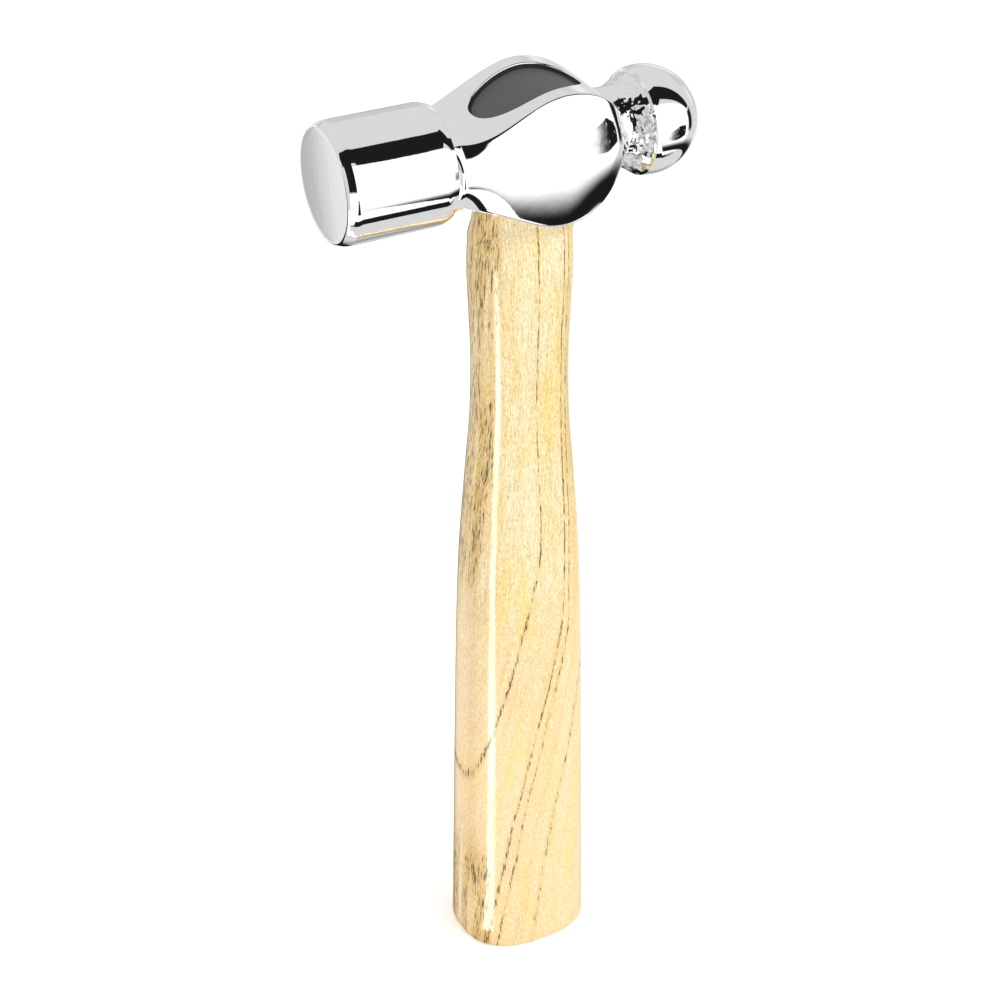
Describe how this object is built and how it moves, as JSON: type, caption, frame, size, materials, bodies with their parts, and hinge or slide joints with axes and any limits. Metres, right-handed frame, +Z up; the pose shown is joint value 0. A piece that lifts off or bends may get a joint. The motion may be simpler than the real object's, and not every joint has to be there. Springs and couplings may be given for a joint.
{
  "type": "ball peen hammer",
  "caption": "Hand hammer with a chromed forged head, a flat striking face and a ball peen, on an oval ash handle wedged into the eye.",
  "frame": {"origin": "centre of the butt's flat end face, on the handle's axis", "axes": "+Z up the handle to the head, -X towards the striking face and +X towards the ball, Y across the cheeks"},
  "size_m": [0.0997, 0.0312, 0.2575],
  "materials": {
    "chrome": "bright chrome plate over a polished forging, smooth on the barrel, cheeks and ball, rougher on the ball's neck",
    "lacquered_ash": "pale straight-grained ash under clear gloss lacquer",
    "wedge_wood": "plain sawn hardwood",
    "wedge_steel": "plain rolled steel",
    "dark_resin": "dark grey resin, satin matt"
  },
  "bodies": {
    "root": {"head": "chrome", "handle": "lacquered_ash", "wooden_wedge": "wedge_wood", "steel_wedge_front": "wedge_steel", "steel_wedge_rear": "wedge_steel", "eye_seal": "dark_resin"}
  },
  "joints": []
}
